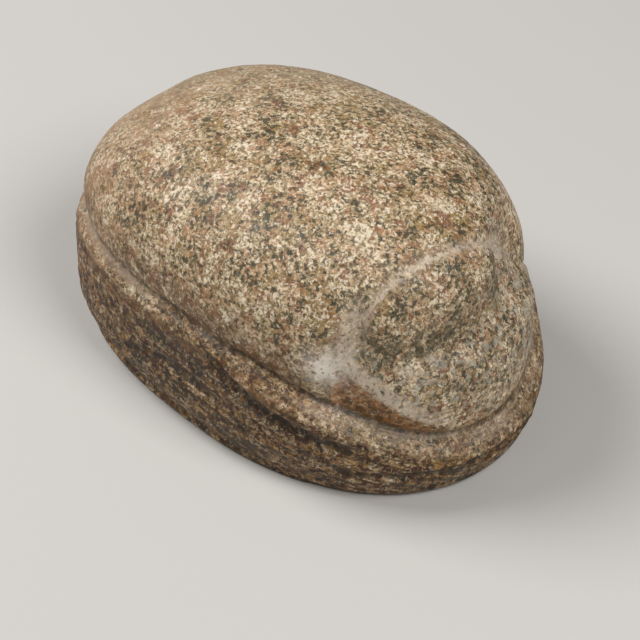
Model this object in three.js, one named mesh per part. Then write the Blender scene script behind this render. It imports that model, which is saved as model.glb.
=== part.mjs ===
// A scarab amulet carved from one pebble of speckled stone: an undivided rounded back, a head
// block with a raised boss, and legs drawn up under a worn ledge that runs round the whole beetle.
// Millimetres. X runs from tail to head, Y to the beetle's left, Z up from the flat underside.
import * as THREE from 'three';
import { mergeVertices } from 'three/addons/utils/BufferGeometryUtils.js';

const { clamp, lerp, smoothstep } = THREE.MathUtils;

// The plan outline, measured from the widest section of the beetle. The stone is hand cut, so its
// left and right sides differ a little.
const outline = {
  tail: 24.26, // widest section to the rear
  head: 22.06, // widest section to the front
  halfWidth: 16.22,
  tailFullness: { left: 2.39, right: 2.66 }, // exponents of the ovals
  headFullness: { left: 2.04, right: 2.14 },
  turn: 0.7, // share of the length over which a value goes from tail to head
};

// The ledge between back and legs, which dips towards the head.
const ledge = {
  height: 12.1,
  frontDrop: 6.3,
  tailDrop: 0.8,
  width: 1.5,
  steepness: 1.7,
  roundness: 2.2,
  cover: 2.6, // how fast it closes in above its own height
  narrowest: 0.75, // width where the hind part meets the foreleg
  narrowAt: 1.5,
  narrowReach: 3,
};

// The flank curves in to a flat foot.
const foot = { inset: { tail: 2.17, head: 1.65 }, height: 4.5, rounding: 0.9 };

// Each flank carries a foreleg, which a falling groove undercuts, and a curved hind-leg groove.
const foreleg = {
  rear: 0.5,
  front: 17,
  fade: 3,
  grooveStart: 10.3,
  grooveEnd: 6.1,
  grooveFrom: 2.5,
  grooveBend: 1.6,
  steepest: 1.2,
  grooveDepth: 0.5,
  grooveWidth: 0.5,
};
const swell = { rear: 3, front: 17, fade: 4, height: 0.4, belowLedge: 1, spread: 0.35, least: 0.5, margin: 0.6 };
const hindLeg = { rear: -14, front: 6, fade: 5, crest: 6.6, crestAt: -1, bend: 0.04, depth: 0.35, width: 0.5 };
const chin = { from: 12.5, fade: 3, height: 3.4, depth: 0.3, width: 0.6 };

// The back: a rounded cap on the ledge, with its summit a little forward and to the right.
const back = { inset: { tail: 0.76, head: 1.09 }, top: 24.14, sideFullness: { tail: 2.14, head: 3.1 }, topFullness: 2.3 };
const backFoot = { undercut: 0.3, reach: 0.2 };
const summit = { forward: 1.41, left: -0.39 };

// The head block lies below the back's curve, deeper beside the boss than at its rim. Its steep
// side wall is lowest at the front and leans in towards its foot.
const shelf = { depth: 1.6, rimDepth: 0.3, rimAt: 1.45, rise: 2.7, rearDrop: 0.9, rearFrom: -0.2, rearTo: 0.7 };
const wall = { inset: 1.41, rearInset: 0.3, lean: 0.45, rearTop: 4.4, frontTop: 0.9, length: 5.5, softness: 0.4 };
const channel = { depth: 0.35, height: 0.1, width: 0.75, from: -1, to: 0.5 }; // in the ledge, under the wall
const headLine = { at: 14.85, slant: 0.17, pull: 2.6, pullFrom: 2, pullTo: 9 };
const boss = {
  along: 0.7,
  across: -2.9,
  slant: 0.06,
  halfLength: 2.8,
  halfWidth: 6.7,
  crown: 0.5,
  crownEnd: 1.2,
  softness: 2.2,
};
const headGroove = { depth: 0.2, width: 0.28, sideDepth: 0.7, sideWidth: 0.6, sideShift: 0.6 };
const headSide = { from: -4, to: -1 }; // where the head groove widens, from the plan outline
// The left side of the head is cut shallower and runs into a flatter flank.
const headLeft = { from: 1, to: 9, share: 0.35, slope: 2.5, easeDepth: 0.3, easeAt: 14, easeReach: 2.5 };

const capScale = 7; // turns the cap's shape value into roughly a distance
const smallestGauge = 0.05; // keeps the division steady near the middle
const blend = { edge: 0.4, join: 0.5, head: 0.4 };

// The surface is sampled from a point low inside the stone, finer where it curves most.
const sampling = {
  centre: new THREE.Vector3(0, 0, 3),
  reach: 40,
  halvings: 32,
  stretch: new THREE.Vector3(1.4, 1, 0.8),
  startDetail: 8,
  longestEdge: 3.6,
  shortestEdge: 0.7,
  tolerance: 0.067,
  passes: 12,
  flipSweeps: 6,
  worthTurning: 0.01,
  betterBy: 0.7,
  thinnest: 0.2,
};

const softMax = (a, b, width) => {
  const overlap = Math.max(width - Math.abs(a - b), 0) / width;
  return Math.max(a, b) + overlap * overlap * width / 4;
};
const softMin = (a, b, width) => -softMax(-a, -b, width);
const bump = (t) => Math.exp(-t * t);
const between = (x, from, to, soft) => smoothstep(x, from, from + soft) * (1 - smoothstep(x, to - soft, to));

// 1 on the plan outline moved in by inset, less than 1 inside it.
function planGauge(x, y, inset) {
  const reach = (x > 0 ? outline.head : outline.tail) - inset;
  const sides = x > 0 ? outline.headFullness : outline.tailFullness;
  const fullness = lerp(sides.left, sides.right, smoothstep(-y, -outline.halfWidth / 2, outline.halfWidth / 2));
  const along = Math.abs(x / reach) ** fullness;
  const across = Math.abs(y / (outline.halfWidth - inset)) ** fullness;
  return Math.max(along + across, 1e-12) ** (1 / fullness);
}

function fromTailToHead(x, { tail, head }) {
  return lerp(tail, head, smoothstep(x, -outline.tail * outline.turn, outline.head * outline.turn));
}

function ledgeHeight(x) {
  const front = clamp(x / outline.head, 0, 1);
  const rear = clamp(-x / outline.tail, 0, 1);
  return ledge.height - ledge.frontDrop * front ** 2 - ledge.tailDrop * rear ** 2;
}

// How far a point lies outside the plan outline, and where the outline is in its direction.
function fromOutline(x, y) {
  const gauge = planGauge(x, y, 0);
  const radius = Math.hypot(x, y);
  return { outward: radius - radius / gauge, x: x / gauge };
}

function legCarving(x, z, ledgeZ) {
  const fall = clamp((foreleg.front - x) / (foreleg.front - foreleg.grooveFrom), 0, foreleg.steepest);
  const grooveZ = lerp(foreleg.grooveEnd, foreleg.grooveStart, fall ** foreleg.grooveBend);
  const groove = foreleg.grooveDepth * bump((z - grooveZ) / foreleg.grooveWidth)
    * between(x, foreleg.rear, foreleg.front, foreleg.fade);
  const swellTop = ledgeZ - swell.belowLedge;
  const swellSize = swell.spread * Math.max(swellTop - grooveZ, swell.least) + swell.margin;
  const leg = swell.height * bump((z - (grooveZ + swellTop) / 2) / swellSize)
    * between(x, swell.rear, swell.front, swell.fade);
  const hindZ = hindLeg.crest - hindLeg.bend * (x - hindLeg.crestAt) ** 2;
  const hind = hindLeg.depth * bump((z - hindZ) / hindLeg.width)
    * between(x, hindLeg.rear, hindLeg.front, hindLeg.fade);
  const underChin = chin.depth * bump((z - chin.height) / chin.width) * smoothstep(x, chin.from, chin.from + chin.fade);
  return groove + hind + underChin - leg;
}

// Legs and base band, under a rolled ledge that slopes in to the foot of the back.
function lowerBody(x, y, z) {
  const edge = fromOutline(x, y);
  const ledgeZ = ledgeHeight(edge.x);
  const narrowing = (ledge.width - ledge.narrowest) * bump((edge.x - ledge.narrowAt) / ledge.narrowReach);
  const width = ledge.width - narrowing;
  const depth = ledgeZ - z;
  const slope = clamp(1 - depth / (ledge.steepness * width), 0, 1) ** ledge.roundness;
  const roll = depth > 0 ? width * slope : width - ledge.cover * depth;
  const footInset = fromTailToHead(x, foot.inset) * clamp(1 - z / foot.height, 0, 1) ** 2;
  return edge.outward + roll + footInset + legCarving(edge.x, z, ledgeZ);
}

// The back's rounded cap over the ledge line. rise is 0 at its foot and 1 at its top.
function cap(x, y, z) {
  const inset = fromTailToHead(x, back.inset);
  const inward = 1 - clamp(planGauge(x, y, inset), 0, 1) ** 2;
  const centredX = x - summit.forward * inward;
  const gauge = planGauge(centredX, y - summit.left * inward, inset);
  const footZ = ledgeHeight(centredX / Math.max(gauge, smallestGauge));
  const rise = (z - footZ) / (back.top - footZ);
  const sides = gauge ** fromTailToHead(centredX, back.sideFullness);
  return { value: capScale * (sides + Math.max(rise, 0) ** back.topFullness - 1), rise };
}

// How far a point lies in front of the line where back and head meet.
function fromHeadLine(x, y) {
  const pull = headLine.pull * smoothstep(y, headLine.pullFrom, headLine.pullTo);
  return x - headLine.at - headLine.slant * y + pull;
}

// A distance that is 1 on the boss's outline and less inside it.
function bossGauge(along, y) {
  const across = y - boss.across;
  return Math.hypot((along - boss.along + boss.slant * across) / boss.halfLength, across / boss.halfWidth);
}

function headForm(y, z, { edge, along, atLeft, groove, grooveWidth, dome }) {
  const toRim = smoothstep(edge.outward + shelf.rimAt, -shelf.rise, 0);
  const behind = shelf.rearDrop * smoothstep(-along, shelf.rearFrom, shelf.rearTo);
  const blockGroove = headGroove.depth * bump((along - grooveWidth / 2) / headGroove.width);
  const top = dome + lerp(shelf.depth, shelf.rimDepth, toRim) + behind + blockGroove;

  const wallTop = lerp(wall.rearTop, wall.frontTop, clamp(along / wall.length, 0, 1));
  const lean = wall.lean * clamp(1 - (z - ledgeHeight(edge.x)) / wallTop, 0, 1) * (1 - atLeft);
  const inset = wall.inset + wall.rearInset * (1 - smoothstep(along, 0, wall.length)) + lean;
  const block = softMax(top, edge.outward + inset, wall.softness);

  const gauge = bossGauge(along, y);
  const bossTop = dome + groove + boss.crown * Math.min(gauge, boss.crownEnd) ** 4;
  return softMin(block, softMax(bossTop, (gauge - 1) * boss.softness, blend.head), blend.head);
}

// The whole stone: negative inside, positive outside.
function scarab(x, y, z) {
  const edge = fromOutline(x, y);
  const along = fromHeadLine(x, y);
  const atLeft = smoothstep(y, headLeft.from, headLeft.to);
  const atSide = smoothstep(edge.outward, headSide.from, headSide.to) * lerp(1, headLeft.share, atLeft);
  const grooveWidth = lerp(headGroove.width, headGroove.sideWidth, atSide);
  const groove = lerp(headGroove.depth, headGroove.sideDepth, atSide)
    * bump((along + headGroove.sideShift * atSide) / grooveWidth);
  const ease = headLeft.easeDepth * bump((x - headLeft.easeAt) / headLeft.easeReach) * atLeft;

  const cover = cap(x, y, z);
  const dome = cover.value + backFoot.undercut * clamp(1 - cover.rise / backFoot.reach, 0, 1) ** 3 + ease;
  const backForm = softMax(dome + groove, along, blend.edge + headLeft.slope * atLeft);
  const head = headForm(y, z, { edge, along, atLeft, groove, grooveWidth, dome });
  const cut = channel.depth * bump((z - ledgeHeight(edge.x) - channel.height) / channel.width)
    * smoothstep(along, channel.from, channel.to);
  const stone = softMin(softMin(backForm, lowerBody(x, y, z) + ease + cut, blend.join), head, blend.edge);
  return softMax(stone, -z, foot.rounding);
}

// The surface along one direction from the sampling centre, found by halving.
function surfacePoint(direction) {
  const probe = new THREE.Vector3();
  let inner = 0;
  let outer = sampling.reach;
  for (let step = 0; step < sampling.halvings; step += 1) {
    const middle = (inner + outer) / 2;
    probe.copy(direction).multiplyScalar(middle).add(sampling.centre);
    if (scarab(probe.x, probe.y, probe.z) < 0) inner = middle;
    else outer = middle;
  }
  if (Math.abs(probe.z) < 1e-5) probe.z = 0;
  return probe;
}

// An even ball of triangles, drawn out to the stone's proportions and laid on its surface.
function startMesh() {
  const ball = new THREE.IcosahedronGeometry(1, sampling.startDetail);
  ball.deleteAttribute('normal');
  ball.deleteAttribute('uv');
  const merged = mergeVertices(ball, 1e-4);
  const position = merged.getAttribute('position');
  const points = [];
  for (let i = 0; i < position.count; i += 1) {
    const direction = new THREE.Vector3().fromBufferAttribute(position, i);
    points.push(surfacePoint(direction.multiply(sampling.stretch).normalize()));
  }
  const triangles = [];
  for (let i = 0; i < merged.index.count; i += 3) {
    triangles.push([merged.index.getX(i), merged.index.getX(i + 1), merged.index.getX(i + 2)]);
  }
  return { points, triangles };
}

const edgeKey = (a, b) => (a < b ? `${a}_${b}` : `${b}_${a}`);
const edgesOf = ([a, b, c]) => [[a, b], [b, c], [c, a]];

// The surface point over the middle of an edge, kept so that both neighbours share it.
function middleOf(mesh, a, b) {
  const key = edgeKey(a, b);
  if (!mesh.middles.has(key)) {
    const chord = mesh.points[a].clone().add(mesh.points[b]).multiplyScalar(0.5);
    const point = surfacePoint(chord.sub(sampling.centre).normalize());
    mesh.middles.set(key, { point, vertex: -1 });
  }
  return mesh.middles.get(key);
}

function edgeLength(mesh, a, b) {
  return mesh.points[a].distanceTo(mesh.points[b]);
}

// How far the surface stands off an edge.
function edgeError(mesh, a, b) {
  const line = new THREE.Line3(mesh.points[a], mesh.points[b]);
  const { point } = middleOf(mesh, a, b);
  return line.closestPointToPoint(point, true, new THREE.Vector3()).distanceTo(point);
}

function longestEdge(mesh, triangle, allowed) {
  let best = null;
  let bestLength = -1;
  edgesOf(triangle).forEach(([a, b], place) => {
    const length = edgeLength(mesh, a, b);
    if (allowed(edgeKey(a, b)) && length > bestLength) {
      best = { a, b, opposite: triangle[(place + 2) % 3] };
      bestLength = length;
    }
  });
  return best;
}

// Marks the edges that need a new point, and the longest edge of each triangle they touch.
function markEdges(mesh) {
  const marked = new Set();
  for (const triangle of mesh.triangles) {
    for (const [a, b] of edgesOf(triangle)) {
      const length = edgeLength(mesh, a, b);
      const coarse = length > sampling.longestEdge;
      const bent = length > sampling.shortestEdge && edgeError(mesh, a, b) > sampling.tolerance;
      if (coarse || bent) marked.add(edgeKey(a, b));
    }
  }
  let before = -1;
  while (marked.size !== before) {
    before = marked.size;
    for (const triangle of mesh.triangles) {
      if (edgesOf(triangle).some(([a, b]) => marked.has(edgeKey(a, b)))) {
        const { a, b } = longestEdge(mesh, triangle, () => true);
        marked.add(edgeKey(a, b));
      }
    }
  }
  return marked;
}

function splitTriangle(mesh, triangle, marked, result) {
  const edge = longestEdge(mesh, triangle, (key) => marked.has(key));
  if (!edge) {
    result.push(triangle);
    return;
  }
  const middle = middleOf(mesh, edge.a, edge.b);
  if (middle.vertex < 0) {
    middle.vertex = mesh.points.length;
    mesh.points.push(middle.point);
  }
  splitTriangle(mesh, [edge.a, middle.vertex, edge.opposite], marked, result);
  splitTriangle(mesh, [middle.vertex, edge.b, edge.opposite], marked, result);
}

function refine(mesh) {
  for (let pass = 0; pass < sampling.passes; pass += 1) {
    const marked = markEdges(mesh);
    if (marked.size === 0) return;
    const result = [];
    mesh.triangles.forEach((triangle) => splitTriangle(mesh, triangle, marked, result));
    mesh.triangles = result;
  }
}

// A triangle is sound when it faces away from the centre and isn't a sliver.
function isSound(mesh, triangle) {
  const [a, b, c] = triangle.map((i) => mesh.points[i]);
  const normal = b.clone().sub(a).cross(c.clone().sub(a));
  const longest = Math.max(a.distanceTo(b), b.distanceTo(c), c.distanceTo(a));
  const outward = normal.dot(a.clone().sub(sampling.centre));
  return outward > 0 && normal.length() / longest ** 2 > sampling.thinnest;
}

// Turns the diagonal of two triangles where the other diagonal follows the surface better.
function flipEdges(mesh) {
  for (let sweep = 0; sweep < sampling.flipSweeps; sweep += 1) {
    const owners = new Map();
    mesh.triangles.forEach((triangle, owner) => {
      triangle.forEach((a, place) => {
        const key = edgeKey(a, triangle[(place + 1) % 3]);
        if (!owners.has(key)) owners.set(key, []);
        owners.get(key).push({ owner, a, b: triangle[(place + 1) % 3], tip: triangle[(place + 2) % 3] });
      });
    });
    const touched = new Set();
    for (const [first, second] of owners.values()) {
      const busy = touched.has(first.owner) || touched.has(second.owner);
      if (busy || owners.has(edgeKey(first.tip, second.tip))) continue;
      const current = edgeError(mesh, first.a, first.b);
      const turned = edgeError(mesh, first.tip, second.tip);
      const pair = [[first.tip, first.a, second.tip], [second.tip, first.b, first.tip]];
      const better = current > sampling.worthTurning && turned < sampling.betterBy * current;
      if (!better || !pair.every((t) => isSound(mesh, t))) continue;
      [mesh.triangles[first.owner], mesh.triangles[second.owner]] = pair;
      touched.add(first.owner).add(second.owner);
    }
  }
}

function scarabGeometry() {
  const mesh = { ...startMesh(), middles: new Map() };
  refine(mesh);
  flipEdges(mesh);
  const geometry = new THREE.BufferGeometry().setFromPoints(mesh.points);
  geometry.setIndex(mesh.triangles.flat());
  geometry.computeBoundingBox();
  const middle = geometry.boundingBox.getCenter(new THREE.Vector3());
  geometry.translate(-middle.x, -middle.y, 0);
  geometry.computeVertexNormals();
  return geometry;
}

const stone = new THREE.MeshStandardMaterial({ color: 0x9c8a70, roughness: 0.6, metalness: 0 });
const scarabMesh = new THREE.Mesh(scarabGeometry(), stone);
scarabMesh.name = 'scarab';

const amulet = new THREE.Group();
amulet.add(scarabMesh);

export default amulet;
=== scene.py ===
import math

import bpy
import numpy as np
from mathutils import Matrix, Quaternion, Vector


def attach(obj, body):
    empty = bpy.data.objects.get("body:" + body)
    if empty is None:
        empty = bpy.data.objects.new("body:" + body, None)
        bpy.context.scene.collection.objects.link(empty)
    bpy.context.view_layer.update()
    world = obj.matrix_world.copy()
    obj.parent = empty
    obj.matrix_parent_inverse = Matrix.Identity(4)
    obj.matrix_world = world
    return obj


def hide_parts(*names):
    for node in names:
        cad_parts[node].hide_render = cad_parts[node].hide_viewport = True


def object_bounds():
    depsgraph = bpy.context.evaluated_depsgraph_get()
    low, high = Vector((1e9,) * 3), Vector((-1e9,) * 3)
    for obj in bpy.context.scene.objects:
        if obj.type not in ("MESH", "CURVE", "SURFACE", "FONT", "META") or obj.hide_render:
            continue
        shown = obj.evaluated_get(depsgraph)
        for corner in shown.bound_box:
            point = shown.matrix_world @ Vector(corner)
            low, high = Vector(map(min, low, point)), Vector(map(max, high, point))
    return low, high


# A scarab amulet carved from one pebble of speckled stone, lying on its flat underside.
# Sizes are in millimetres. X runs from tail to head, Y to the beetle's left, Z up.

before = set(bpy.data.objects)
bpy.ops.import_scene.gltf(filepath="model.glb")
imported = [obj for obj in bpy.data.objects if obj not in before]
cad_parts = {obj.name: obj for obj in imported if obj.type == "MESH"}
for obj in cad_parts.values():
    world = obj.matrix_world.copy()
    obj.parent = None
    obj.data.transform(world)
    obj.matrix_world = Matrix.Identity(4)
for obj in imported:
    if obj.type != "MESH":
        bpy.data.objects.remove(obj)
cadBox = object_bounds()  # the finished stone keeps this size
mm = 0.001
print("frame loaded, box in mm:", [round((high - low) / mm, 2) for low, high in zip(*cadBox)])

scarab = {
    # plan outline, from the widest section
    "tail": 24.26,
    "head": 22.06,
    "halfWidth": 16.22,
    "tailFullness": 2.39,  # exponents of the ovals, on the left and on the right
    "tailFullnessRight": 2.66,
    "headFullness": 2.04,
    "headFullnessRight": 2.14,
    "turn": 0.7,  # share of the length over which a value goes from tail to head
    # ledge between back and legs
    "ledgeHeight": 12.1,
    "ledgeFrontDrop": 6.3,
    "ledgeTailDrop": 0.8,
    "ledgeWidth": 1.5,
    "ledgeSteepness": 1.7,
    "ledgeRoundness": 2.2,
    "ledgeCover": 2.6,  # how fast it closes in above its own height
    "ledgeNarrowest": 0.75,  # width where the hind part meets the foreleg
    "ledgeNarrowAt": 1.5,
    "ledgeNarrowReach": 3,
    # flat foot
    "footInsetTail": 2.17,
    "footInsetHead": 1.65,
    "footHeight": 4.5,
    "footRounding": 0.9,
    # legs
    "forelegFrom": 0.5,
    "forelegTo": 17,
    "forelegFade": 3,
    "forelegGrooveStart": 10.3,
    "forelegGrooveEnd": 6.1,
    "forelegGrooveFrom": 2.5,
    "forelegGrooveBend": 1.6,
    "forelegSteepest": 1.2,
    "forelegGrooveDepth": 0.5,
    "forelegGrooveWidth": 0.5,
    "swellFrom": 3,
    "swellTo": 17,
    "swellFade": 4,
    "swellHeight": 0.4,
    "swellBelowLedge": 1,
    "swellSpread": 0.35,
    "swellLeast": 0.5,
    "swellMargin": 0.6,
    "chinFrom": 12.5,  # groove under the chin
    "chinFade": 3,
    "chinHeight": 3.4,
    "chinDepth": 0.3,
    "chinWidth": 0.35,
    "hindLegFrom": -14,
    "hindLegTo": 6,
    "hindLegFade": 5,
    "hindLegCrest": 6.6,
    "hindLegCrestAt": -1,
    "hindLegBend": 0.04,
    "hindLegDepth": 0.35,
    "hindLegWidth": 0.5,
    # rounded back
    "backInsetTail": 0.76,
    "backInsetHead": 1.09,
    "backTop": 24.14,
    "backSideFullnessTail": 2.14,
    "backSideFullnessHead": 3.1,
    "backTopFullness": 2.3,
    "backUndercut": 0.3,
    "backUndercutReach": 0.2,
    "summitForward": 1.41,
    "summitLeft": -0.39,
    # head block
    "shelfDepth": 1.6,  # below the back's curve, beside the boss and at the rim
    "shelfRimDepth": 0.3,
    "shelfRise": 2.7,  # width of the slope between the two
    "shelfRimAt": 1.45,  # inside the plan outline
    "shelfRearDrop": 0.9,  # behind the head line it falls away
    "shelfRearFrom": -0.2,
    "shelfRearTo": 0.7,
    "headLineAt": 14.85,
    "headLineSlant": 0.17,
    "headLinePull": 2.6,  # its far end turns back to the flank
    "headLinePullFrom": 2,
    "headLinePullTo": 9,
    "wallInset": 1.41,  # the steep side of the head block
    "wallInsetRear": 0.3,  # the wall stands further in at its rear corner
    "wallLean": 0.45,
    "wallTopRear": 4.4,  # height over the ledge
    "wallTopFront": 0.9,
    "wallLength": 5.5,
    "wallBlend": 0.25,
    "headGrooveDepth": 0.2,
    "headGrooveWidth": 0.28,
    "headGrooveSideDepth": 0.7,
    "headGrooveSideWidth": 0.6,
    "headGrooveSideShift": 0.6,  # at the side the groove runs behind the head's corner
    "headSideFrom": -4,
    "headSideTo": -1,
    "headLeftFrom": 1,  # the left side is cut shallower and stands higher
    "headLeftTo": 9,
    "headLeftShare": 0.35,
    "headLeftSlope": 2.5,
    "easeDepth": 0.3,  # the left flank is rubbed in a little, next to the head
    "easeAt": 14,
    "easeReach": 2.5,
    # boss on the head block
    "bossAlong": 0.7,
    "bossAcross": -2.9,
    "bossSlant": 0.06,
    "bossHalfLength": 2.8,
    "bossHalfWidth": 6.7,
    "bossCrown": 0.5,
    "bossCrownEnd": 1.2,
    "bossSoftness": 2.2,
    "channelDepth": 0.35,  # hollow under the head block's side
    "channelHeight": 0.1,
    "channelWidth": 0.75,
    "channelFrom": -1,
    "channelTo": 0.5,
    # how the forms run into each other
    "capScale": 7,  # turns the cap's shape value into roughly a distance
    "smallestGauge": 0.05,  # keeps a division steady near the middle
    "edgeBlend": 0.3,
    "joinBlend": 0.12,
    "headBlend": 0.3,
    # where the surface is sampled from
    "heart": (0, 0, 3),
    "ballRadii": (24.5, 17, 12.5),
    "ballHeight": 11,
    "reach": 3,  # times the ball's own radii
    "doublings": 7,  # each one halves the squares of the starting cube
    "halvings": 30,
    # wear, and how the stone fills its box
    "streakStretch": 9,  # how long the flank's streaks are drawn out
    "footFrom": 0.05,  # wear comes in over this height, so that the underside stays flat
    "footTo": 1.2,
    "clearance": 0.0002,  # share of the size by which the stone stays inside its box
}


def smoothstep(value, start, end):
    step = np.clip((value - start) / (end - start), 0, 1)
    return step * step * (3 - 2 * step)


def softMax(a, b, width):
    overlap = np.maximum(width - np.abs(a - b), 0) / width
    return np.maximum(a, b) + overlap * overlap * width / 4


def softMin(a, b, width):
    return -softMax(-a, -b, width)


def bump(value):
    return np.exp(-value * value)


def between(value, start, end, soft):
    return smoothstep(value, start, start + soft) * (1 - smoothstep(value, end - soft, end))


# 1 on the plan outline moved in by inset, less than 1 inside it.
def planGauge(x, y, inset):
    reach = np.where(x > 0, scarab["head"], scarab["tail"]) - inset
    right = smoothstep(-y, -scarab["halfWidth"] / 2, scarab["halfWidth"] / 2)
    headFullness = scarab["headFullness"] + (scarab["headFullnessRight"] - scarab["headFullness"]) * right
    tailFullness = scarab["tailFullness"] + (scarab["tailFullnessRight"] - scarab["tailFullness"]) * right
    fullness = np.where(x > 0, headFullness, tailFullness)
    sides = np.abs(x / reach) ** fullness + np.abs(y / (scarab["halfWidth"] - inset)) ** fullness
    return np.maximum(sides, 1e-12) ** (1 / fullness)


# A setting that changes from its value at the tail to its value at the head.
def fromTailToHead(name, x):
    towardsHead = smoothstep(x, -scarab["tail"] * scarab["turn"], scarab["head"] * scarab["turn"])
    return scarab[name + "Tail"] + (scarab[name + "Head"] - scarab[name + "Tail"]) * towardsHead


def ledgeLine(x):
    front = np.clip(x / scarab["head"], 0, 1) ** 2
    rear = np.clip(-x / scarab["tail"], 0, 1) ** 2
    return scarab["ledgeHeight"] - scarab["ledgeFrontDrop"] * front - scarab["ledgeTailDrop"] * rear


# How far a point lies outside the plan outline, and the outline's x in its direction.
def fromOutline(x, y):
    gauge = planGauge(x, y, 0)
    radius = np.hypot(x, y)
    return radius - radius / gauge, x / gauge


# The height of the falling groove under the foreleg.
def forelegLine(x):
    fall = (scarab["forelegTo"] - x) / (scarab["forelegTo"] - scarab["forelegGrooveFrom"])
    fall = np.clip(fall, 0, scarab["forelegSteepest"])
    drop = scarab["forelegGrooveStart"] - scarab["forelegGrooveEnd"]
    return scarab["forelegGrooveEnd"] + drop * fall ** scarab["forelegGrooveBend"]


def legGrooves(x, z):
    foreleg = scarab["forelegGrooveDepth"] * bump((z - forelegLine(x)) / scarab["forelegGrooveWidth"])
    foreleg = foreleg * between(x, scarab["forelegFrom"], scarab["forelegTo"], scarab["forelegFade"])
    hindZ = scarab["hindLegCrest"] - scarab["hindLegBend"] * (x - scarab["hindLegCrestAt"]) ** 2
    hind = scarab["hindLegDepth"] * bump((z - hindZ) / scarab["hindLegWidth"])
    hind = hind * between(x, scarab["hindLegFrom"], scarab["hindLegTo"], scarab["hindLegFade"])
    chin = scarab["chinDepth"] * bump((z - scarab["chinHeight"]) / scarab["chinWidth"])
    chin = chin * smoothstep(x, scarab["chinFrom"], scarab["chinFrom"] + scarab["chinFade"])
    return foreleg + hind + chin


# The foreleg stands out a little between its groove and the ledge.
def legSwell(x, z, ledgeZ):
    grooveZ = forelegLine(x)
    topZ = ledgeZ - scarab["swellBelowLedge"]
    height = np.maximum(topZ - grooveZ, scarab["swellLeast"])
    spread = scarab["swellSpread"] * height + scarab["swellMargin"]
    swell = scarab["swellHeight"] * bump((z - (grooveZ + topZ) / 2) / spread)
    return swell * between(x, scarab["swellFrom"], scarab["swellTo"], scarab["swellFade"])


# Legs and base band, under a rolled ledge that slopes in to the foot of the back.
def lowerBody(x, y, z):
    outward, edgeX = fromOutline(x, y)
    ledgeZ = ledgeLine(edgeX)
    narrowing = scarab["ledgeWidth"] - scarab["ledgeNarrowest"]
    narrowing = narrowing * bump((edgeX - scarab["ledgeNarrowAt"]) / scarab["ledgeNarrowReach"])
    width = scarab["ledgeWidth"] - narrowing
    depth = ledgeZ - z
    slope = np.clip(1 - depth / (scarab["ledgeSteepness"] * width), 0, 1) ** scarab["ledgeRoundness"]
    roll = np.where(depth > 0, width * slope, width - scarab["ledgeCover"] * depth)
    footInset = fromTailToHead("footInset", x) * np.clip(1 - z / scarab["footHeight"], 0, 1) ** 2
    return outward + roll + footInset + legGrooves(edgeX, z) - legSwell(edgeX, z, ledgeZ)


# The back's rounded cap over the ledge line. rise is 0 at its foot and 1 at its top.
def backCap(x, y, z):
    inset = fromTailToHead("backInset", x)
    inward = 1 - np.clip(planGauge(x, y, inset), 0, 1) ** 2
    x = x - scarab["summitForward"] * inward
    y = y - scarab["summitLeft"] * inward
    gauge = planGauge(x, y, inset)
    footZ = ledgeLine(x / np.maximum(gauge, scarab["smallestGauge"]))
    rise = (z - footZ) / (scarab["backTop"] - footZ)
    sides = gauge ** fromTailToHead("backSideFullness", x)
    return scarab["capScale"] * (sides + np.maximum(rise, 0) ** scarab["backTopFullness"] - 1), rise


# How far a point lies in front of the line where back and head meet.
def fromHeadLine(x, y):
    pull = scarab["headLinePull"] * smoothstep(y, scarab["headLinePullFrom"], scarab["headLinePullTo"])
    lineX = scarab["headLineAt"] + scarab["headLineSlant"] * y - pull
    return x - lineX


# How high the wall beside the head stands over the ledge.
def wallHeight(along):
    rise = scarab["wallTopRear"] - scarab["wallTopFront"]
    return scarab["wallTopRear"] - rise * np.clip(along / scarab["wallLength"], 0, 1)


# 1 on the boss's outline, less than 1 inside it.
def bossGauge(along, y):
    across = y - scarab["bossAcross"]
    ahead = along - scarab["bossAlong"] + scarab["bossSlant"] * across
    return np.hypot(ahead / scarab["bossHalfLength"], across / scarab["bossHalfWidth"])


# The head block: a sunken shelf with a steep side wall, and the boss that stands on it.
def headForm(outward, along, y, aboveLedge, atLeft, groove, grooveWidth, dome):
    toRim = smoothstep(outward + scarab["shelfRimAt"], -scarab["shelfRise"], 0)
    depth = scarab["shelfDepth"] + (scarab["shelfRimDepth"] - scarab["shelfDepth"]) * toRim
    behind = smoothstep(-along, scarab["shelfRearFrom"], scarab["shelfRearTo"])
    shelf = dome + depth + scarab["shelfRearDrop"] * behind
    shelf = shelf + scarab["headGrooveDepth"] * bump((along - grooveWidth / 2) / scarab["headGrooveWidth"])

    wall = scarab["wallInset"] + scarab["wallInsetRear"] * (1 - smoothstep(along, 0, scarab["wallLength"]))
    lean = np.clip(1 - aboveLedge / wallHeight(along), 0, 1)
    wall = wall + scarab["wallLean"] * lean * (1 - atLeft)
    shelf = softMax(shelf, outward + wall, scarab["wallBlend"])

    gauge = bossGauge(along, y)
    bossTop = dome + groove + scarab["bossCrown"] * np.minimum(gauge, scarab["bossCrownEnd"]) ** 4
    boss = softMax(bossTop, (gauge - 1) * scarab["bossSoftness"], scarab["headBlend"])
    return softMin(shelf, boss, scarab["headBlend"])


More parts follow.
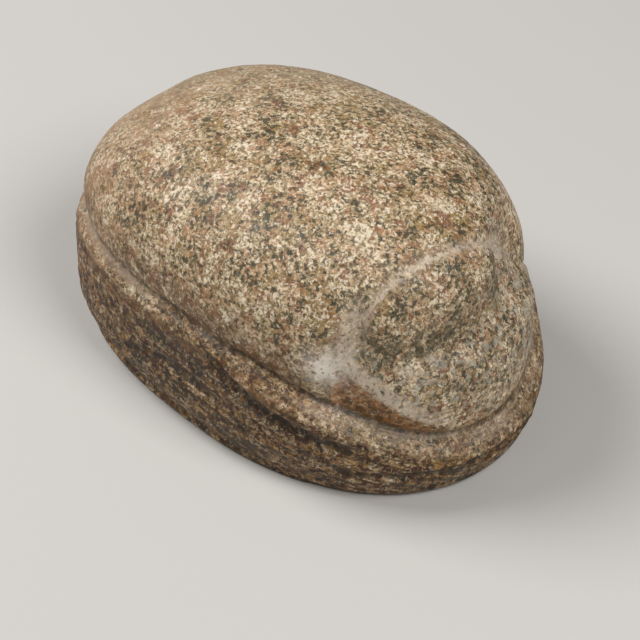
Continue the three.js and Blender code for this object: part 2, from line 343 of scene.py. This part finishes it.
# The whole stone: negative inside, positive outside.
def stoneForm(x, y, z):
    outward, edgeX = fromOutline(x, y)
    along = fromHeadLine(x, y)
    aboveLedge = z - ledgeLine(edgeX)
    atLeft = smoothstep(y, scarab["headLeftFrom"], scarab["headLeftTo"])
    atSide = smoothstep(outward, scarab["headSideFrom"], scarab["headSideTo"])
    atSide = atSide * (1 - (1 - scarab["headLeftShare"]) * atLeft)
    deeper = scarab["headGrooveSideDepth"] - scarab["headGrooveDepth"]
    wider = scarab["headGrooveSideWidth"] - scarab["headGrooveWidth"]
    grooveDepth = scarab["headGrooveDepth"] + deeper * atSide
    grooveWidth = scarab["headGrooveWidth"] + wider * atSide
    groove = grooveDepth * bump((along + scarab["headGrooveSideShift"] * atSide) / grooveWidth)

    dome, rise = backCap(x, y, z)
    undercut = np.clip(1 - rise / scarab["backUndercutReach"], 0, 1) ** 3
    ease = scarab["easeDepth"] * bump((x - scarab["easeAt"]) / scarab["easeReach"]) * atLeft
    dome = dome + scarab["backUndercut"] * undercut + ease
    back = softMax(dome + groove, along, scarab["edgeBlend"] + scarab["headLeftSlope"] * atLeft)
    head = headForm(outward, along, y, aboveLedge, atLeft, groove, grooveWidth, dome)

    channel = scarab["channelDepth"] * bump((aboveLedge - scarab["channelHeight"]) / scarab["channelWidth"])
    channel = channel * smoothstep(along, scarab["channelFrom"], scarab["channelTo"])
    stone = softMin(back, lowerBody(x, y, z) + ease + channel, scarab["joinBlend"])
    stone = softMin(stone, head, scarab["edgeBlend"])
    return softMax(stone, -z, scarab["footRounding"])


# Slides each point of the ball along its line from the heart until it lies on the form.
def carveOnto(points):
    heart = np.array(scarab["heart"], float)
    lines = points - heart
    inner = np.zeros(len(points))
    outer = np.full(len(points), float(scarab["reach"]))
    for step in range(scarab["halvings"]):
        middle = (inner + outer) / 2
        x, y, z = (heart + lines * middle[:, None]).T
        inside = stoneForm(x, y, z) < 0
        inner = np.where(inside, middle, inner)
        outer = np.where(inside, outer, middle)
    return heart + lines * inner[:, None]


def readPoints(piece):
    points = np.empty(len(piece.data.vertices) * 3)
    piece.data.vertices.foreach_get("co", points)
    return points.reshape(-1, 3)


def writePoints(piece, points):
    piece.data.vertices.foreach_set("co", points.ravel())
    piece.data.update()


# A cube with many squares, rounded to a ball and drawn out to the pebble's proportions.
def makeBall():
    bpy.ops.object.select_all(action="DESELECT")
    bpy.ops.mesh.primitive_cube_add(size=2)
    ball = bpy.context.active_object
    bpy.ops.object.mode_set(mode="EDIT")
    bpy.ops.mesh.select_all(action="SELECT")
    for doubling in range(scarab["doublings"]):
        bpy.ops.mesh.subdivide(number_cuts=1)
    bpy.ops.object.mode_set(mode="OBJECT")
    bpy.ops.object.modifier_add(type="CAST")
    cast = ball.modifiers[-1]
    cast.cast_type = "SPHERE"
    cast.factor = 1
    cast.size = 1
    cast.use_radius_as_size = False
    bpy.ops.object.modifier_apply(modifier=cast.name)
    return ball


# Where each finish, painted shade and painted highlight lies, in millimetres apart from shares, gains and
# the boss's gauge. A pair holds the two values that it comes in or fades out between, and a third number is
# the width of both its soft ends.
finishAndPaintedLight = {
    "overLedge": (-0.2, 0.6),
    "rightSide": (3, 6),
    "onHead": (-0.4, -0.1),
    "farSide": {"across": 0.55, "along": -0.53, "from": (0, 9)},
    "tail": (5, 18),
    "headTop": {"aboveWall": (-0.2, 0.4), "gauge": (0.95, 1.1)},
    "headGroove": {"at": 0.3, "width": 0.34, "inside": (0.6, 1.6), "aboveWall": (-0.3, 0.4)},
    "corner": {"at": 0.1, "width": 0.7, "side": (8.5, 10), "aboveWall": (0, 0.8), "share": 0.8},
    "rubbed": {"aboveWall": (0, 2.4, 0.7), "fade": (3, 7)},
    "satin": {"aboveLedge": (-0.8, 0.15, 0.3), "fade": (-8, -1)},
    "wall": {"aboveLedge": (0, 0.3), "aboveWall": (0, 0.5), "fade": (4.6, 6)},
    "channel": {"along": (-3, 8, 2), "aboveLedge": (-1.2, 0.4, 0.4)},
    "backFoot": {"at": 0.8, "width": 2.2, "aboveLedge": (0, 0.3), "inside": (0.5, 1.2), "fade": (8, 13)},
    "underRoll": {"at": -1.9, "width": 0.7, "share": 0.8},
    "crease": {"at": 0.08, "width": 0.15, "fade": (5, 7)},
    "legGroove": {"gain": 4, "least": 0.3},
    "moat": {"at": 1, "width": 0.09, "along": (0.2, 0.9), "middle": -1.5, "apart": (2, 4), "least": 0.5},
    "worn": {"at": (12.2, -12, 13.3), "reach": 1.6},
    "lowFlank": (-2, -1),
    "midFlank": {"from": (-7, 15, 4), "share": 0.8},
    "frontFlank": {"from": (12, 17), "share": 0.5},
}


# 1 at the middle of a band, fading out over its width.
def band(value, place):
    return bump((value - place["at"]) / place["width"])


def fade(value, limits):
    return 1 - smoothstep(value, *limits)


# Marks on the surface that the stone's finish, painted shade and painted highlights follow, each from 0 to
# 1.
def surfaceMarks(x, y, z):
    outward, edgeX = fromOutline(x, y)
    along = fromHeadLine(x, y)
    gauge = bossGauge(along, y)
    aboveLedge = z - ledgeLine(edgeX)
    aboveWall = aboveLedge - wallHeight(along)
    overLedge = smoothstep(aboveLedge, *finishAndPaintedLight["overLedge"])
    onHead = smoothstep(along, *finishAndPaintedLight["onHead"])
    headSide = onHead * smoothstep(-y, *finishAndPaintedLight["rightSide"])

    farSide = finishAndPaintedLight["farSide"]
    towardsFar = farSide["across"] * y + farSide["along"] * x
    headTop = finishAndPaintedLight["headTop"]
    headTopMark = onHead * smoothstep(aboveWall, *headTop["aboveWall"])
    headTopMark = headTopMark * smoothstep(gauge, *headTop["gauge"])

    headGroove = finishAndPaintedLight["headGroove"]
    grooveMark = band(along, headGroove) * smoothstep(-outward, *headGroove["inside"])
    grooveMark = grooveMark * smoothstep(aboveWall, *headGroove["aboveWall"])
    # the corner mark is a painted highlight on the head block's near rear corner
    corner = finishAndPaintedLight["corner"]
    cornerMark = corner["share"] * band(along, corner) * smoothstep(-y, *corner["side"])
    cornerMark = cornerMark * smoothstep(aboveWall, *corner["aboveWall"])
    rubbed = finishAndPaintedLight["rubbed"]
    rubbedMark = headSide * between(aboveWall, *rubbed["aboveWall"]) * fade(along, rubbed["fade"])

    satin = finishAndPaintedLight["satin"]
    wall = finishAndPaintedLight["wall"]
    wallMark = headSide * smoothstep(aboveLedge, *wall["aboveLedge"])
    wallMark = wallMark * fade(aboveWall, wall["aboveWall"])
    channel = finishAndPaintedLight["channel"]
    # the foot mark paints rust darkened with shade at the foot of the back and under the roll
    backFoot = finishAndPaintedLight["backFoot"]
    footMark = band(aboveLedge, backFoot) * smoothstep(aboveLedge, *backFoot["aboveLedge"])
    footMark = footMark * smoothstep(-outward, *backFoot["inside"])
    underRoll = finishAndPaintedLight["underRoll"]
    footMark = np.maximum(footMark, underRoll["share"] * band(aboveLedge, underRoll))
    # the crease mark paints shade into the crease between the back and the ledge roll
    crease = finishAndPaintedLight["crease"]

    # the groove mark paints shade into the leg grooves
    legGroove = finishAndPaintedLight["legGroove"]
    legGrooveMark = np.clip(legGrooves(edgeX, z) * legGroove["gain"] - legGroove["least"], 0, 1)
    # the moat mark paints shade round the foot of the boss
    moat = finishAndPaintedLight["moat"]
    moatShare = moat["least"] + (1 - moat["least"]) * smoothstep(np.abs(y - moat["middle"]), *moat["apart"])
    # a painted highlight: a near-white spot on the head block's near rear corner
    worn = finishAndPaintedLight["worn"]
    fromCornerHighlight = np.linalg.norm(np.stack([x, y, z], 1) - worn["at"], axis=1)

    midFlank = finishAndPaintedLight["midFlank"]
    frontFlank = finishAndPaintedLight["frontFlank"]
    middle = midFlank["share"] * between(x, *midFlank["from"])
    front = frontFlank["share"] * smoothstep(x, *frontFlank["from"])
    upperFlank = np.maximum(middle, front) * (1 - overLedge)
    return {
        "far": smoothstep(towardsFar, *farSide["from"]) * overLedge,
        "tail": smoothstep(-x, *finishAndPaintedLight["tail"]),
        "head": headTopMark,
        "polished": np.maximum(grooveMark, np.maximum(cornerMark, rubbedMark)),
        "satin": between(aboveLedge, *satin["aboveLedge"]) * fade(x, satin["fade"]),
        "wall": wallMark * fade(along, wall["fade"]),
        "channel": between(along, *channel["along"]) * between(aboveLedge, *channel["aboveLedge"]),
        "foot": footMark * fade(x, backFoot["fade"]),
        "crease": band(aboveLedge, crease) * fade(along, crease["fade"]),
        "groove": legGrooveMark * (1 - overLedge),
        "moat": band(gauge, moat) * smoothstep(along, *moat["along"]) * moatShare,
        "worn": bump(fromCornerHighlight / worn["reach"]),
        "flank": np.maximum(fade(aboveLedge, finishAndPaintedLight["lowFlank"]), upperFlank),
    }


# A map that runs along the flank, so that tool marks and streaks can follow it.
def addFlow(piece, x, y, z):
    outward, edgeX = fromOutline(x, y)
    roundStone = np.arctan2(np.abs(y), -x) * scarab["halfWidth"] / scarab["streakStretch"]
    flow = np.stack([roundStone, z - ledgeLine(edgeX) - outward], 1)
    corners = np.empty(len(piece.data.loops), dtype=np.int32)
    piece.data.loops.foreach_get("vertex_index", corners)
    layer = piece.data.uv_layers.new(name="flow")
    layer.data.foreach_set("uv", flow[corners].astype(np.float32).ravel())


def addMarks(piece, marks):
    for name, values in marks.items():
        mark = piece.data.attributes.new(name, "FLOAT", "POINT")
        mark.data.foreach_set("value", values.astype(np.float32))


wearStrengths = 20  # steps in how much of the wear a point takes
wear = {
    # each layer sinks the surface by up to depth, and spot is the size of its pattern
    "slow": {"spot": 7, "depth": 0.22, "detail": 1, "group": "aboveFoot"},
    "hand": {"spot": 2.2, "depth": 0.1, "detail": 2, "group": "aboveFoot"},
    "pits": {"spot": 0.8, "depth": 0.12, "detail": 2, "group": "rough"},
    "grain": {"spot": 0.45, "depth": 0.05, "detail": 1, "group": "grainy"},
    "streaks": {"spot": 0.55, "depth": 0.22, "detail": 1, "group": "streaked", "map": "flow"},
}


def addWear(piece, groups):
    for name, weights in groups.items():
        group = piece.vertex_groups.new(name=name)
        steps = np.round(weights * wearStrengths).astype(int)
        for step in range(1, wearStrengths + 1):
            group.add(np.flatnonzero(steps == step).tolist(), step / wearStrengths, "REPLACE")
    bpy.ops.object.select_all(action="DESELECT")
    piece.select_set(True)
    bpy.context.view_layer.objects.active = piece
    for name, layer in wear.items():
        pattern = bpy.data.textures.new("wear " + name, "CLOUDS")
        pattern.noise_scale = layer["spot"] * (1 if "map" in layer else mm)
        pattern.noise_depth = layer["detail"]
        bpy.ops.object.modifier_add(type="DISPLACE")
        sink = piece.modifiers[-1]
        sink.texture = pattern
        sink.texture_coords = "UV" if "map" in layer else "LOCAL"
        sink.uv_layer = layer.get("map", "")
        sink.strength = layer["depth"] * mm
        sink.mid_level = 1  # only ever inwards
        sink.vertex_group = layer["group"]
        bpy.ops.object.modifier_apply(modifier=sink.name)


# Centres the stone in the CAD box and takes up what the wear has taken off.
def fitToBox(points):
    low, high = (np.array(corner) for corner in cadBox)
    ownLow, ownHigh = points.min(0), points.max(0)
    share = (high - low) / (ownHigh - ownLow) * (1 - scarab["clearance"])
    middle = (low + high) / 2
    fitted = (points - (ownLow + ownHigh) / 2) * share + middle
    fitted[:, 2] = (points[:, 2] - ownLow[2]) * share[2] + low[2]
    return fitted


def makeScarab():
    stone = makeBall()
    stone.name = "carvedScarab"
    stone.data.name = "carvedScarab"
    ball = readPoints(stone) * scarab["ballRadii"] + (0, 0, scarab["ballHeight"])
    carved = carveOnto(ball)
    writePoints(stone, carved * mm)
    x, y, z = carved.T
    marks = surfaceMarks(x, y, z)
    addMarks(stone, marks)
    addFlow(stone, x, y, z)
    aboveFoot = smoothstep(z, scarab["footFrom"], scarab["footTo"])
    smooth = np.maximum(marks["polished"], marks["satin"])
    addWear(stone, {
        "aboveFoot": aboveFoot,
        "rough": aboveFoot * np.maximum(marks["flank"], 0.25 * (1 - smooth)),
        "grainy": aboveFoot * (1 - 0.7 * smooth),
        "streaked": aboveFoot * np.maximum(marks["flank"], 0.35 * marks["channel"]),
    })
    writePoints(stone, fitToBox(readPoints(stone)))
    bpy.ops.object.shade_smooth()
    return stone


def fromHex(code):
    channels = [int(code[place:place + 2], 16) / 255 for place in (1, 3, 5)]
    linear = [value / 12.92 if value <= 0.04045 else ((value + 0.055) / 1.055) ** 2.4 for value in channels]
    return (*linear, 1)


# Adds a node. A setting goes to the socket of that name or number, or else to the node itself.
def addNode(tree, kind, settings=None, links=None):
    node = tree.nodes.new("ShaderNode" + kind)
    for name, value in (settings or {}).items():
        if name == "stops":
            ramp = node.color_ramp.elements
            while len(ramp) < len(value):
                ramp.new(0.5)
            for stop, (place, code) in zip(ramp, value):
                stop.position = place
                stop.color = fromHex(code)
        elif isinstance(name, int) or name in node.inputs:
            node.inputs[name].default_value = value
        else:
            setattr(node, name, value)
    for name, source in (links or {}).items():
        tree.links.new(source, node.inputs[name])
    return node


# Speckled granodiorite, carved, rubbed smooth and handled for a long time. Ragged cream and pinkish
# feldspar is peppered with green-black hornblende and crossed by ochre and rust patches. A soft
# satin gloss lies on the rubbed places, which look paler and calmer, and the satin roll is lightened
# with a painted sheen. The flanks are browner and darkened with painted shade. Painted shade lies in
# the crease, the leg grooves, round the boss's foot, at the back's foot and on the steep wall, and
# painted highlights lie on the head block's near rear corner.
speckledStone = {
    "roughness": 0.6,
    "ior": 1.54,
    "raggedness": 0.5,  # how far grain edges wander
    "raggedSize": 5 / 12,  # size of the noise that bends them
    "gatherSize": 2.5,  # clusters of dark grains, and the pale places between them
    "edgeRoughness": 0.62,  # of each layer's noise
    "layerShift": (7.3, 12.1, 4.7),  # sets each layer's noise apart from the last
    "rubbing": {"size": 10 / 7, "detail": 4, "spread": 0.3},  # uneven gloss
    "satinGloss": 0.24,  # how much smoother the satin roll is
    "skin": {"size": 0.2, "detail": 4, "roughness": 0.7, "strength": 0.5, "depth": 0.06},
    "feldspar": {"size": 0.44, "detail": 4, "roughness": 0.72},
    "tones": [(0.36, "#625032"), (0.44, "#8a7250"), (0.5, "#ac9470"), (0.555, "#ccb692"), (0.63, "#e2d1b2")],
    # each layer covers what lies below it where its noise passes from one limit to the other
    "layers": [
        # patches and grains all over the stone
        {"colour": "#b07d55", "size": 1.5, "detail": 2, "limits": (0.48, 0.62), "strength": 0.5},
        {"colour": "#8e7034", "size": 3.8, "detail": 3, "limits": (0.53, 0.64), "strength": 0.6},
        {"colour": "#80492a", "size": 1.3, "detail": 4, "limits": (0.56, 0.62), "strength": 0.72},
        {"colour": "#443a21", "size": 0.25, "detail": 3, "limits": (0.54, 0.6), "strength": 0.75},
        {"colour": "#2b2d19", "size": 0.45, "detail": 4, "limits": (0.55, 0.595),
         "strength": 0.85, "gather": 0.4},
        {"colour": "#ecdcc2", "size": 0.33, "detail": 3, "limits": (0.57, 0.63),
         "strength": 0.75, "gather": -0.4},
        # warmer towards the tail, calmer on the far side, and a few large pale grains
        {"colour": "#a97f5c", "size": 3, "detail": 3, "limits": (0.4, 0.6), "strength": 0.45,
         "mark": "tail"},
        {"colour": "#aa967a", "size": 2.5, "detail": 3, "limits": (0.25, 0.6), "strength": 0.45,
         "mark": "far"},
        {"colour": "#efe3d0", "size": 1.0, "detail": 3, "limits": (0.67, 0.71), "strength": 0.8},
        # the flanks: browner and streaked stone, darkened further with painted shade
        # painted shade: these two multiply the flank darker than its own brown
        {"colour": "#c2a672", "size": 1.1, "detail": 3, "limits": (0.3, 0.55), "strength": 1,
         "mark": "flank", "blend": "MULTIPLY"},
        {"colour": "#8a6a40", "size": 0.8, "detail": 4, "limits": (0.48, 0.54), "strength": 1,
         "mark": "flank", "blend": "MULTIPLY"},
        {"colour": "#b3a183", "size": 0.36, "detail": 3, "limits": (0.57, 0.62), "strength": 0.7,
         "mark": "flank"},
        {"colour": "#2b240f", "size": 0.5, "detail": 3, "limits": (0.5, 0.62), "strength": 0.6,
         "mark": "flank", "along": "flow"},
        # greyer stone round the boss
        {"colour": "#b3aa97", "size": 0.9, "detail": 4, "limits": (0.5, 0.6), "strength": 0.6,
         "mark": "head"},
        {"colour": "#34382a", "size": 0.5, "detail": 4, "limits": (0.57, 0.61), "strength": 0.7,
         "mark": "head"},
        # the satin roll, polished stone made paler as a painted sheen, the channel, and rust at the foot of
        # the back and on the wall, darkened there with painted shade
        # polished grey-mauve stone on the roll, lightened as a painted sheen
        {"colour": "#98836f", "size": 1.4, "detail": 4, "limits": (0.32, 0.56), "strength": 0.85,
         "mark": "satin"},
        {"colour": "#a8947f", "size": 0.35, "detail": 3, "limits": (0.45, 0.6), "strength": 0.45,
         "mark": "channel", "along": "flow"},
        # rust with painted shade at the foot of the back and under the roll
        {"colour": "#64401f", "size": 0.9, "detail": 4, "limits": (0.4, 0.55), "strength": 0.85,
         "mark": "foot"},
        {"colour": "#9a6430", "size": 0.7, "detail": 3, "limits": (0.3, 0.6), "strength": 0.85,
         "mark": "wall"},
        # painted shade darkening the rust-stained steep wall
        {"colour": "#4c3218", "size": 0.6, "detail": 4, "limits": (0.5, 0.57), "strength": 0.8,
         "mark": "wall"},
        # painted shade, darkening the crease under the back, the leg grooves and the foot of the boss
        {"colour": "#2c2114", "size": 0.7, "detail": 3, "limits": (0.3, 0.5), "strength": 0.85,
         "mark": "crease"},
        # painted shade in the leg grooves
        {"colour": "#261c10", "size": 0.7, "detail": 3, "limits": (0.35, 0.55), "strength": 0.8,
         "mark": "groove"},
        # painted shade round the foot of the boss
        {"colour": "#3d3820", "size": 0.7, "detail": 3, "limits": (0.38, 0.56), "strength": 0.8,
         "mark": "moat"},
        # places rubbed pale, with painted highlights on the head block's near rear corner
        {"colour": "#c6b6a2", "size": 0.4, "detail": 3, "limits": (0.36, 0.52), "strength": 0.85,
         "mark": "polished"},
        # painted highlight on the head block's near rear corner
        {"colour": "#efe6da", "size": 0.4, "detail": 3, "limits": (0.34, 0.46), "strength": 0.95,
         "mark": "worn"},
    ],
}


def makeSpeckledStone():
    settings = speckledStone
    stone = bpy.data.materials.new("speckled granodiorite")
    stone.use_nodes = True
    tree = stone.node_tree
    tree.nodes.clear()

    position = addNode(tree, "TexCoord").outputs["Object"]
    place = addNode(tree, "Mapping", {"Scale": (1 / mm, 1 / mm, 1 / mm)}, {"Vector": position}).outputs[0]
    wander = addNode(
        tree, "TexNoise", {"Scale": 1 / settings["raggedSize"], "Detail": 2},
        {"Vector": place}).outputs["Color"]
    reach = (settings["raggedness"],) * 3
    ragged = addNode(
        tree, "VectorMath", {"operation": "MULTIPLY_ADD", 1: reach},
        {0: wander, 2: place}).outputs[0]
    gathered = addNode(
        tree, "TexNoise", {"Scale": 1 / settings["gatherSize"], "Detail": 2},
        {"Vector": place}).outputs["Fac"]
    gathered = addNode(tree, "Math", {"operation": "SUBTRACT", 1: 0.5}, {0: gathered}).outputs[0]
    flow = addNode(tree, "UVMap", {"uv_map": "flow"}).outputs[0]

    grain = settings["feldspar"]
    feldspar = addNode(
        tree, "TexNoise",
        {"Scale": 1 / grain["size"], "Detail": grain["detail"], "Roughness": grain["roughness"]},
        {"Vector": ragged}).outputs["Fac"]
    colour = addNode(tree, "ValToRGB", {"stops": settings["tones"]}, {"Fac": feldspar}).outputs["Color"]

    for number, layer in enumerate(settings["layers"], 1):
        shift = tuple(step * number for step in settings["layerShift"])
        source = flow if layer.get("along") == "flow" else ragged
        own = addNode(tree, "Mapping", {"Location": shift}, {"Vector": source}).outputs[0]
        spots = addNode(
            tree, "TexNoise",
            {"Scale": 1 / layer["size"], "Detail": layer["detail"], "Roughness": settings["edgeRoughness"]},
            {"Vector": own}).outputs["Fac"]
        if "gather" in layer:
            spots = addNode(
                tree, "Math", {"operation": "MULTIPLY_ADD", 1: layer["gather"]},
                {0: gathered, 2: spots}).outputs[0]
        low, high = layer["limits"]
        cover = addNode(
            tree, "MapRange", {"From Min": low, "From Max": high, "To Max": layer["strength"]},
            {"Value": spots}).outputs[0]
        if "mark" in layer:
            mark = addNode(tree, "Attribute", {"attribute_name": layer["mark"]}).outputs["Fac"]
            cover = addNode(tree, "Math", {"operation": "MULTIPLY"}, {0: cover, 1: mark}).outputs[0]
        blend = layer.get("blend", "MIX")
        colour = addNode(
            tree, "Mix", {"data_type": "RGBA", "blend_type": blend, 7: fromHex(layer["colour"])},
            {0: cover, 6: colour}).outputs[2]

    rubbing = settings["rubbing"]
    rubbed = addNode(
        tree, "TexNoise", {"Scale": 1 / rubbing["size"], "Detail": rubbing["detail"]},
        {"Vector": place}).outputs["Fac"]
    smoothest = settings["roughness"] - rubbing["spread"] / 2
    uneven = addNode(
        tree, "Math", {"operation": "MULTIPLY_ADD", 1: rubbing["spread"], 2: smoothest},
        {0: rubbed}).outputs[0]
    satin = addNode(tree, "Attribute", {"attribute_name": "satin"}).outputs["Fac"]
    roughness = addNode(
        tree, "Math", {"operation": "MULTIPLY_ADD", 1: -settings["satinGloss"]},
        {0: satin, 2: uneven}).outputs[0]
    skin = settings["skin"]
    height = addNode(
        tree, "TexNoise",
        {"Scale": 1 / skin["size"], "Detail": skin["detail"], "Roughness": skin["roughness"]},
        {"Vector": ragged}).outputs["Fac"]
    relief = addNode(
        tree, "Bump", {"Strength": skin["strength"], "Distance": skin["depth"] * mm},
        {"Height": height}).outputs[0]
    surface = addNode(
        tree, "BsdfPrincipled", {"IOR": settings["ior"]},
        {"Base Color": colour, "Roughness": roughness, "Normal": relief}).outputs[0]
    addNode(tree, "OutputMaterial", {}, {"Surface": surface})
    return stone


studio = {
    "floorSize": 1200,
    "floorColour": "#c6c3be",
    "floorRoughness": 0.9,
    "world": 0.16,
    "lights": [
        # azimuth and elevation round the stone, distance, size, watts
        {"name": "left", "azimuth": 298, "elevation": 50, "distance": 380, "size": 200, "power": 1.1},
        {"name": "right", "azimuth": 88, "elevation": 52, "distance": 380, "size": 200, "power": 0.85},
    ],
}


def lookFrom(azimuth, elevation):
    a, e = math.radians(azimuth), math.radians(elevation)
    return Vector((math.sin(a) * math.cos(e), -math.cos(a) * math.cos(e), math.sin(e)))


def makeFloor():
    bpy.ops.object.select_all(action="DESELECT")
    bpy.ops.mesh.primitive_plane_add(size=studio["floorSize"] * mm)
    floor = bpy.context.active_object
    floor.name = "paleFloor"
    paper = bpy.data.materials.new("matt pale card")
    paper.use_nodes = True
    surface = paper.node_tree.nodes["Principled BSDF"]
    surface.inputs["Base Color"].default_value = fromHex(studio["floorColour"])
    surface.inputs["Roughness"].default_value = studio["floorRoughness"]
    floor.data.materials.append(paper)


def makeLights():
    for light in studio["lights"]:
        bpy.ops.object.light_add(type="AREA")
        lamp = bpy.context.active_object
        lamp.name = light["name"]
        lamp.data.shape = "DISK"
        lamp.data.size = light["size"] * mm
        lamp.data.energy = light["power"]
        toLamp = lookFrom(light["azimuth"], light["elevation"])
        lamp.location = toLamp * light["distance"] * mm
        lamp.rotation_mode = "QUATERNION"
        lamp.rotation_quaternion = toLamp.to_track_quat("Z", "Y")
    world = bpy.data.worlds.new("studio")
    bpy.context.scene.world = world
    world.use_nodes = True
    world.node_tree.nodes["Background"].inputs["Color"].default_value = (1, 1, 1, 1)
    world.node_tree.nodes["Background"].inputs["Strength"].default_value = studio["world"]


camera = {
    "azimuth": 43.7,
    "elevation": 39.8,
    "roll": 2.3,
    "fieldOfView": 14,
    "distance": 228.6,
    "target": (1.21, 0, 10.6),
    "aside": -0.38,  # the picture's middle, from the target
    "above": -5.22,
    "clipStart": 10,
}


def makeCamera():
    target = Vector(camera["target"])
    back = lookFrom(camera["azimuth"], camera["elevation"])
    place = target + back * camera["distance"]
    level = back.to_track_quat("Z", "Y")
    turned = level @ Quaternion((0, 0, 1), math.radians(camera["roll"]))
    aim = target + turned @ Vector((camera["aside"], camera["above"], 0))
    bpy.ops.object.camera_add(location=place * mm)
    view = bpy.context.active_object
    view.data.angle = math.radians(camera["fieldOfView"])
    view.data.clip_start = camera["clipStart"] * mm
    view.rotation_mode = "QUATERNION"
    facing = (place - aim).to_track_quat("Z", "Y")
    view.rotation_quaternion = facing @ Quaternion((0, 0, 1), math.radians(camera["roll"]))
    bpy.context.scene.camera = view


stone = makeScarab()
stone.data.materials.append(makeSpeckledStone())
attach(stone, "root")
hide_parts("scarab")
print("scarab carved,", len(stone.data.polygons), "squares")

makeFloor()
makeLights()
makeCamera()
bpy.context.scene.view_settings.view_transform = "Standard"
print("floor, lights and camera placed")
